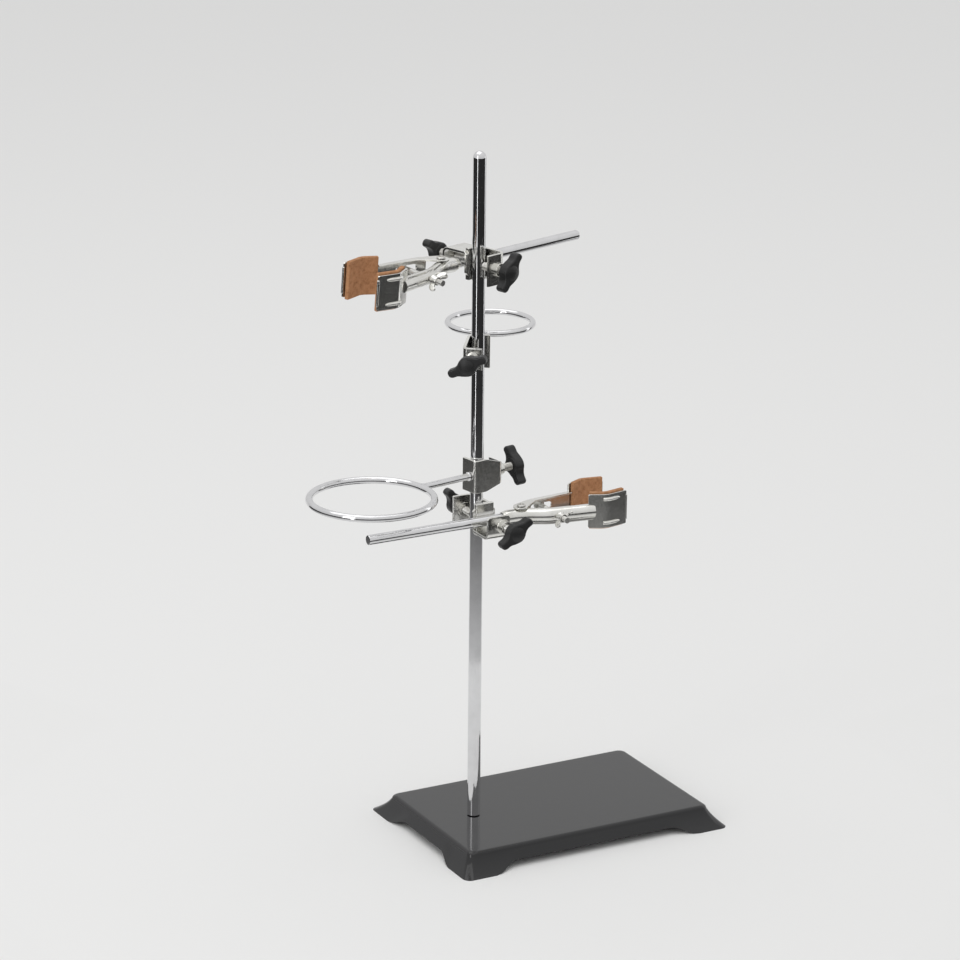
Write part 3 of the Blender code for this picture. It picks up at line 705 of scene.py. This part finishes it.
def boss_shape():
    """Two hooks back to back, as in the frame, with rounded edges."""
    saddle_front = ROD_RADIUS + GAP
    saddle_back = BOSS_SPACING - CLAMP_ROD_RADIUS - GAP
    half, wall, sheet, bend = 11.0, 16.0, 2.0, 4.0
    side = -(ROD_RADIUS + 1.5)
    web = prism([(-9.0, saddle_front), (4.5, saddle_front), (4.5, saddle_back), (-9.0, saddle_back)],
                -half, half, 0.45, 0.8)
    line = [(side, saddle_back - 1.0), (side, -wall + bend)]
    line += arc((side + bend, -wall + bend), bend, 180, 270, 10)[1:]
    line += [(9.0, -wall)]
    shell = prism(thick_line(line, -sheet), -half + 0.4, half - 0.4, 0.45, 0.8)
    floor, curve, top = -9.0, 5.0, 8.7
    back = BOSS_SPACING + wall
    profile = [(saddle_front + 0.5, top), (saddle_front + 0.5, floor + 2.0)]
    profile += [(saddle_front + 2.5, floor), (back - curve, floor)]
    profile += arc((back - curve, floor + curve), curve, 270, 360, 10)[1:]
    profile += [(back, top - 1.2)]
    start, end, screw_x = -10.5, 6.5, -5.5
    hook = prism(thick_line(profile, sheet), start, end, 0.45, 0.8)
    hook = moved(hook, Matrix(((0, 0, 1, 0), (1, 0, 0, 0), (0, 1, 0, 0), (0, 0, 0, 1))))
    chamfer = [(start - 1, -20.0), (end + 1, -20.0), (end + 1, top - 4.0), (end - 3.0, top + 0.01),
               (end - 3.0, 20.0), (start + 3.0, 20.0), (start + 3.0, top + 0.01), (start - 1, top - 4.0)]
    corners = moved(prism(chamfer, -60.0, 0.0), turn(90, "X"))
    return combined(hook, [
        ("INTERSECT", corners), ("UNION", web), ("UNION", shell),
        ("UNION", moved(collar(), shift(y=-wall) @ turn(90, "X"))),
        ("UNION", moved(collar(), shift(x=screw_x, y=back) @ turn(-90, "X"))),
        ("DIFFERENCE", moved(screw_hole(), turn(90, "X"))),
        ("DIFFERENCE", moved(screw_hole(), shift(x=screw_x, y=BOSS_SPACING) @ turn(-90, "X"))),
    ])


def build_boss(label, casting):
    joint = JOINTS[label + "_boss_rod_knob_turn"]
    axis = Vector(joint["axis"])
    heading = math.degrees(math.atan2(axis.y, axis.x)) + 90.0
    place = shift(x=ROD_X, z=joint["pos_m"][2] / MM) @ turn(heading, "Z")
    piece(label + "_boss_pressed", boss_shape(), place @ casting, label + "_boss", "nickel_plate",
          label + "_boss_body")
    build_thumb_screw(label + "_boss_rod", 55.0, casting)
    build_thumb_screw(label + "_boss_arm", 35.0, casting)


# ---------------------------------------------------------------- rings
def bracket_shape():
    inner, sheet, side, bend, wall = ROD_RADIUS + GAP, 2.0, 7.2, 3.0, 17.0
    line = [(inner + sheet, -side), (inner + sheet, side - bend)]
    line += arc((inner + sheet - bend, side - bend), bend, 0, 90, 10)[1:]
    line += arc((-wall + bend, side - bend), bend, 90, 180, 10)
    line += [(-wall, -side + 1.0)]
    strip = prism(thick_line(line, sheet), -11.5, 11.5, 0.45, 0.8)
    low, high = 7.0, 11.45
    pentagon = [(-wall - 9.0, -low), (-wall, -low), (-2.0, -high), (9.0, -high),
                (9.0, high), (-2.0, high), (-wall, low), (-wall - 9.0, low)]
    limit = moved(prism(pentagon, -20.0, 20.0, 0.0, 2.0), turn(90, "X"))
    return combined(strip, [
        ("INTERSECT", limit), ("UNION", moved(collar(), shift(x=-wall + 1.0) @ turn(-90, "Y"))),
        ("DIFFERENCE", moved(screw_hole(), turn(-90, "Y"))),
    ])


def ring_shape(reach, outer, wire):
    stem_start = ROD_RADIUS + 2.0 + 2 * GAP
    stem_end = reach - outer + wire
    stem = [(3.1, stem_start), (3.1, stem_start + 0.5), (2.45, stem_start + 1.2), (2.35, stem_start + 2.0)]
    if stem_end - stem_start > 6.0:
        stem += [(2.35, stem_end - 3.0), (2.6, stem_end - 1.6), (2.75, stem_end)]
    else:
        stem = [(2.9, stem_start), (2.45, stem_start + 0.8), (2.45, stem_end)]
    bar = moved(turned(stem, 32), turn(90, "Y"))
    return combined(moved(torus(outer - wire, wire), shift(x=reach)), [("UNION", bar)])


def build_ring(label, reach, outer, wire, wing_turn):
    joint = JOINTS[label + "_knob_turn"]
    axis = Vector(joint["axis"])
    heading = math.degrees(math.atan2(-axis.y, -axis.x))
    height = joint["pos_m"][2] / MM
    place = shift(x=ROD_X, z=height) @ turn(heading, "Z")
    piece(label + "_bracket_pressed", bracket_shape(), place, label, "nickel_plate", label + "_bracket")
    low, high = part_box(label)
    lift = (low.z + high.z) / 2 / MM - height
    piece(label + "_welded", ring_shape(reach, outer, wire), place @ shift(z=lift), label, "chrome", label)
    build_thumb_screw(label, wing_turn)


# ---------------------------------------------------------------- two-prong clamps
ARM_PATH = [(13.0, 0.0), (16.0, 0.0), (24.0, -0.2), (31.0, -2.2), (38.0, -5.6), (45.0, -8.6),
            (56.0, -10.4), (77.0, -13.6)]
JAW_LINE = [(73.0, -13.2), (84.5, -18.6), (101.0, -15.6)]


def mirrored(line):
    return [(x, -y) for x, y in line]


def softened(line, share=0.18, steps=5):
    """Bent line with its middle corner drawn as a small curve."""
    start, fold, end = (Vector(point) for point in line)
    first = fold + (start - fold) * share * 1.4
    last = fold + (end - fold) * share
    curve = []
    for step in range(steps + 1):
        t = step / steps
        curve.append(tuple(first * (1 - t) ** 2 + fold * (2 * t * (1 - t)) + last * t * t))
    return [tuple(start)] + curve + [tuple(end)]


def upright(outline, low=-40.0, high=40.0):
    """Prism of an x, z outline, drawn along y."""
    return moved(prism(outline, low, high), turn(90, "X"))


def plate_with_ribs(line, side):
    """Bent jaw plate with round corners, two raised ribs and a turned outer edge."""
    half = JAW_HEIGHT / 2
    plate = prism(thick_line(softened(line), -side * JAW_SHEET), -half, half, 0.3, 0.5)
    xs = (line[0][0] - 1.0, line[2][0] + 0.9)
    card = rounded([(xs[0], -half), (xs[1], -half), (xs[1], half), (xs[0], half)], 3.0, 6)
    steps = [("INTERSECT", upright(card))]
    outer = [(x, y - side * (JAW_SHEET + 0.1)) for x, y in softened(line)]
    middle_points = [point for point in outer if 78.0 < point[0] < 90.0]
    path = smooth_path(middle_points + [(95.0, outer[-1][1] - side * 1.1)], 4)
    radii = [1.25] * len(path)
    radii[0] = radii[-1] = 0.35
    radii[1] = radii[-2] = 0.95
    for height in (-8.4, 8.4):
        steps.append(("UNION", moved(swept_round(path, radii, 20), shift(z=height))))
    edge_x, edge_y = line[2][0] - 0.1, line[2][1] - side * JAW_SHEET * 0.6
    bead = moved(cylinder(0.95, -half + 3.0, half - 3.0, 20, 0.5), shift(edge_x, edge_y))
    steps.append(("UNION", bead))
    return combined(plate, steps)


def fixed_arm_shape():
    path = smooth_path(ARM_PATH, 5)
    start = path[0][0]
    radii = []
    for x, y in path:
        taper = min((x - start) / 4.5, 1.0)
        radii.append(3.95 + (ARM_RADIUS - 3.95) * math.sin(taper * math.pi / 2))
    arm = swept_round(path, radii)
    seam_line = [(x, y) for x, y in path if x > 33.0]
    lip = prism(thick_line([(x, y - 2.6) for x, y in seam_line], 1.3), -ARM_RADIUS - 0.9, -2.0, 0.4)
    groove = prism(thick_line([(x, y - 1.1) for x, y in seam_line if x > 35.0 and x < 71.0], 0.6), -7.0, -4.2)
    clear = prism(thick_line(JAW_LINE, 20.0), -JAW_HEIGHT, JAW_HEIGHT)
    plate = plate_with_ribs(JAW_LINE, 1)
    socket = moved(cylinder(3.8, 5.0, 22.8), turn(90, "Y"))
    pin_hole = moved(cylinder(1.85, -20.0, 20.0), shift(PIVOT_X))
    bolt_hole = moved(cylinder(2.4, -30.0, 30.0), shift(x=BOLT_X) @ turn(90, "X"))
    return combined(arm, [
        ("UNION", lip), ("DIFFERENCE", groove), ("DIFFERENCE", clear), ("UNION", plate),
        ("DIFFERENCE", socket), ("DIFFERENCE", pin_hole), ("DIFFERENCE", bolt_hole),
    ])


def moving_arm_shape():
    jaw = mirrored(JAW_LINE)
    ear_low, ear_high = ARM_RADIUS + GAP, ARM_RADIUS + GAP + 1.2
    spine = smooth_path([(34.0, 8.6), (45.0, 11.4), (77.0, 14.2)], 8)
    web = prism(thick_line(spine, -JAW_SHEET), -ear_high + 0.05, ear_high - 0.05, 0.35)
    ear = [(PIVOT_X + 1.0, -5.5), (36.0, 1.0), (44.0, 7.2), (74.0, 10.4), (76.5, 14.1)]
    ear += [(45.0, 11.4), (34.0, 8.6), (25.0, 5.0)]
    ear += arc((PIVOT_X, 0.0), 5.5, 130, 280, 16)[1:-1]
    clear = prism(thick_line(jaw, -20.0), -JAW_HEIGHT, JAW_HEIGHT)
    pin_hole = moved(cylinder(1.85, -20.0, 20.0), shift(PIVOT_X))
    slot = prism(capsule((-7.0, 0.0), (6.0, 0.0), 2.4), -20.0, 10.0)
    place = shift(x=BOLT_X) @ turn(90, "X")
    return combined(web, [
        ("UNION", prism(ear, ear_low, ear_high, 0.3, 1.0)),
        ("UNION", prism(ear, -ear_high, -ear_low, 0.3, 1.0)),
        ("DIFFERENCE", clear), ("UNION", plate_with_ribs(jaw, -1)), ("DIFFERENCE", pin_hole),
        ("DIFFERENCE", moved(slot, place)),
    ])


def cork_shape(side):
    line = [(x, -side * -y) for x, y in JAW_LINE]
    line = softened([(x, y + side * GAP) for x, y in line])
    line[0] = (line[0][0] + 1.0, line[0][1])
    line[-1] = (line[-1][0] - 1.0, line[-1][1])
    half = CORK_HEIGHT / 2
    pad = prism(thick_line(line, side * CORK_THICKNESS), -half, half, 0.5, 0.9)
    card = rounded([(line[0][0] - 3.5, -half - 0.1), (line[-1][0] + 3.5, -half - 0.1),
                    (line[-1][0] + 3.5, half + 0.1), (line[0][0] - 3.5, half + 0.1)], 5.0, 6)
    return combined(pad, [("INTERSECT", upright(card))])


def rivet_shape():
    inner = ARM_RADIUS + 1.2 + 2 * GAP
    head = [(3.0, inner), (3.0, inner + 0.35), (2.75, inner + 0.75), (2.2, inner + 1.0), (1.7, inner + 0.9),
            (1.45, inner + 0.5), (1.3, inner - 0.5), (0.4, inner - 0.7)]
    lower = [(radius, -height) for radius, height in head][::-1]
    return turned(lower + [(1.5, -inner), (1.5, inner)] + head, 40)


def bolt_shape():
    front, head = -25.0, 13.5
    shank = threaded(2.0, front, 6.0, 0.7)
    top = turned([(2.0, 5.0), (2.0, head), (3.7, head), (4.0, head + 0.4), (4.0, head + 1.0),
                  (3.4, head + 1.9), (2.2, head + 2.4), (0.6, head + 2.6)], 40)
    return combined(shank, [("UNION", top)])


def wing_nut_shape():
    hub = turned([(3.3, 0.0), (3.6, 0.3), (3.6, 1.0), (3.1, 1.8), (2.95, 4.2), (2.75, 4.6)], 40)
    steps = []
    for side in (1, -1):
        outline = [(side * 1.0, 0.8), (side * 3.0, 0.6), (side * 6.4, 2.0), (side * 8.0, 4.6),
                   (side * 7.3, 6.8), (side * 5.6, 7.0), (side * 4.4, 5.2),
                   (side * 2.6, 4.2), (side * 1.0, 4.2)]
        wing = prism(smooth_closed(outline), -0.85, 0.85, 0.4)
        steps.append(("UNION", moved(wing, turn(90, "X"))))
    steps.append(("DIFFERENCE", cylinder(2.3, -2.0, 12.0, 32)))
    return combined(hub, steps)


def smooth_closed(outline, per_span=5):
    """Closed Catmull-Rom outline through the points."""
    made = []
    count = len(outline)
    for index in range(count):
        a, b, c, d = (Vector(outline[(index + step) % count]) for step in (-1, 0, 1, 2))
        for step in range(per_span):
            t = step / per_span
            spot = 0.5 * (2 * b + (c - a) * t + (2 * a - 5 * b + 4 * c - d) * t * t
                          + (3 * b - a - 3 * c + d) * t ** 3)
            made.append(tuple(spot))
    return made


def build_clamp(label, tail):
    name = label + "_clamp"
    along = Vector(JOINTS[name + "_reach"]["axis"])
    upward = Vector(JOINTS[name + "_jaw_open"]["axis"])
    place = Matrix((along, upward.cross(along), upward)).transposed().to_4x4()
    place.translation = Vector(JOINTS[name + "_jaw_open"]["pos_m"]) / MM - along * PIVOT_X
    profile = [(CLAMP_ROD_RADIUS - 0.7, -tail), (CLAMP_ROD_RADIUS - 0.2, -tail + 0.2),
               (CLAMP_ROD_RADIUS, -tail + 0.7), (CLAMP_ROD_RADIUS, 22.5)]
    piece(name + "_rod_plated", moved(turned(profile, 48), turn(90, "Y")), place, name, "chrome",
          name + "_rod")
    piece(name + "_fixed_arm_rolled", fixed_arm_shape(), place, name, "nickel_plate",
          name + "_fixed_arm")
    piece(name + "_fixed_cork_lining", cork_shape(1), place, name, "cork", name + "_fixed_cork")
    piece(name + "_rivet_headed", rivet_shape(), place @ shift(PIVOT_X), name, "zinc_plate",
          name + "_pivot_rivet")
    jaw = name + "_jaw"
    piece(name + "_moving_arm_pressed", moving_arm_shape(), place, jaw, "nickel_plate",
          name + "_moving_arm")
    piece(name + "_moving_cork_lining", cork_shape(-1), place, jaw, "cork", name + "_moving_cork")
    across = place @ shift(x=BOLT_X) @ turn(-90, "X")
    piece(name + "_bolt_threaded", bolt_shape(), across, name + "_bolt", "zinc_plate", name + "_bolt",
          sharp=60.0)
    nut = place @ shift(x=BOLT_X, y=-15.4) @ turn(90, "X") @ turn(40.0, "Z")
    piece(name + "_wing_nut_cast", wing_nut_shape(), nut, name + "_wing_nut", "nickel_plate",
          name + "_wing_nut", sharp=50.0)


# ---------------------------------------------------------------- studio
FRONT = -118.4
SURROUND_SPREAD = 128.0


def camera():
    """Long lens aimed at a point beside the rod's axis."""
    azimuth, elevation, roll = math.radians(-28.357), math.radians(17.752), math.radians(0.566)
    distance = 2.5398
    target = Vector((ROD_X * MM + 0.00195, -0.00105, 0.25816))
    back = Vector((math.sin(azimuth) * math.cos(elevation), -math.cos(azimuth) * math.cos(elevation),
                   math.sin(elevation)))
    level = Vector((math.cos(azimuth), math.sin(azimuth), 0.0))
    up = back.cross(level)
    right = level * math.cos(roll) + up * math.sin(roll)
    top = up * math.cos(roll) - level * math.sin(roll)
    made = bpy.data.objects.new("camera", bpy.data.cameras.new("camera"))
    made.data.sensor_width = 36.0
    made.data.lens = 3758.25 * 36.0 / 960.0
    place = Matrix((right, top, back)).transposed().to_4x4()
    place.translation = target + back * distance
    made.matrix_world = place
    bpy.context.scene.collection.objects.link(made)
    bpy.context.scene.camera = made


def softbox(name, energy, size, place, aim):
    light = bpy.data.lights.new(name, "AREA")
    light.energy = energy
    light.shape = "RECTANGLE"
    light.size, light.size_y = size
    made = bpy.data.objects.new(name, light)
    made.location = place
    made.rotation_euler = (Vector(aim) - Vector(place)).to_track_quat("-Z", "Y").to_euler()
    bpy.context.scene.collection.objects.link(made)
    return made


def reflected_only(made):
    made.visible_camera = False
    made.visible_diffuse = False
    made.visible_shadow = False
    made.visible_transmission = False
    made.visible_volume_scatter = False


def painted_reflection_surround():
    """Flat ring round the front of the stand, seen only in reflections: a painted reflection of the room
    beyond the white sweep, light grey near the stand and nearly black further out.
    """
    shade = Surface("painted_reflection_surround", (0.0, 0.0, 0.0), 1.0, Specular_IOR_Level=0.0)
    distance = shade.node("ShaderNodeVectorMath", operation="LENGTH")
    shade.link(shade.place, distance.inputs[0])
    share = shade.levels(distance.outputs["Value"], 0.34, 1.1, 0.0, 1.0)
    # painted reflection: grey near the stand fading to nearly black far out, standing in for the lit sweep
    # and the unlit room mirrored in the glossy parts
    shade.drive("Base Color", shade.ramp(share, [(0.0, (0.6, 0.6, 0.6)), (0.25, (0.34, 0.34, 0.34)),
                                                 (0.55, (0.07, 0.07, 0.07)), (1.0, (0.03, 0.03, 0.03))]))
    points, faces = [], []
    steps = 64
    for step in range(steps + 1):
        angle = math.radians(FRONT - SURROUND_SPREAD + 2 * SURROUND_SPREAD * step / steps)
        for radius in (340.0, 9000.0):
            points.append((radius * math.cos(angle), radius * math.sin(angle), 0.0))
    for step in range(steps):
        faces.append((2 * step, 2 * step + 1, 2 * step + 3, 2 * step + 2))
    made = staged("painted_reflection_surround", mesh_from(points, faces), shift(x=ROD_X, z=1.5), shade.material)
    reflected_only(made)


def strip_light(name, azimuth, distance, width, low, high, strength):
    """Upright glowing strip, seen only in reflections."""
    glow = Surface(name, (0.0, 0.0, 0.0), 1.0, Specular_IOR_Level=0.0)
    glow.set("Emission Color", (1.0, 1.0, 1.0, 1.0))
    glow.set("Emission Strength", strength)
    heading = math.radians(azimuth)
    spot = Vector((distance * math.cos(heading), distance * math.sin(heading), 0.0))
    points = [(0.0, -width / 2, low), (0.0, width / 2, low), (0.0, width / 2, high), (0.0, -width / 2, high)]
    made = staged(name, mesh_from(points, [(0, 1, 2, 3)]), Matrix.Translation(spot) @ turn(azimuth, "Z"),
                  glow.material)
    reflected_only(made)


def staged(name, shape, matrix, finish):
    data = bpy.data.meshes.new(name)
    shape.to_mesh(data)
    shape.free()
    data.materials.append(finish)
    made = bpy.data.objects.new(name, data)
    scaled = matrix.copy()
    scaled.translation = matrix.translation * MM
    made.matrix_world = scaled
    bpy.context.scene.collection.objects.link(made)
    return made


def studio():
    floor = Surface("studio_floor", (0.8, 0.8, 0.795), 0.8, Specular_IOR_Level=0.15)
    half = 14000.0
    corners = [(-half, -half, 0.0), (half, -half, 0.0), (half, half, 0.0), (-half, half, 0.0)]
    staged("floor", mesh_from(corners, [(0, 1, 2, 3)]), Matrix(), floor.material)
    painted_reflection_surround()
    strip_light("strip_left", FRONT - 34.0, 640.0, 60.0, 30.0, 620.0, 2.6)
    strip_light("strip_right", FRONT + 112.0, 620.0, 120.0, 30.0, 620.0, 1.4)

    softbox("overhead", 11.0, (2.2, 2.2), (-0.2, 0.4, 2.4), (0.0, 0.0, 0.1))
    softbox("key_left", 6.0, (0.5, 1.6), (-2.0, -0.7, 1.0), (0.0, 0.0, 0.25))

    world = bpy.data.worlds.new("room")
    world.use_nodes = True
    tree = world.node_tree
    place = tree.nodes.new("ShaderNodeTexCoord")
    split = tree.nodes.new("ShaderNodeSeparateXYZ")
    tree.links.new(place.outputs["Generated"], split.inputs["Vector"])
    ramp = tree.nodes.new("ShaderNodeValToRGB")
    tree.links.new(split.outputs["Z"], ramp.inputs["Fac"])
    stops = ((0.0, 0.80), (0.2, 0.80), (0.6, 0.9), (1.0, 1.0))
    while len(ramp.color_ramp.elements) < len(stops):
        ramp.color_ramp.elements.new(0.5)
    for element, (position, level) in zip(ramp.color_ramp.elements, stops):
        element.position = position
        element.color = (level, level, level, 1.0)
    tree.links.new(ramp.outputs["Color"], tree.nodes["Background"].inputs["Color"])
    tree.nodes["Background"].inputs["Strength"].default_value = 0.9
    bpy.context.scene.world = world
    bpy.context.scene.view_settings.view_transform = "Standard"


# ---------------------------------------------------------------- assembly
camera()
studio()
build_base()
build_rod()
build_nut_and_washer()
build_ring("small_ring", 40.0, 31.0, 2.15, 115.0)
build_ring("big_ring", 89.0, 44.0, 2.5, -33.0)
build_boss("upper", turn(180, "Y"))
build_boss("lower", Matrix())
build_clamp("upper", 103.0)
build_clamp("lower", 89.0)
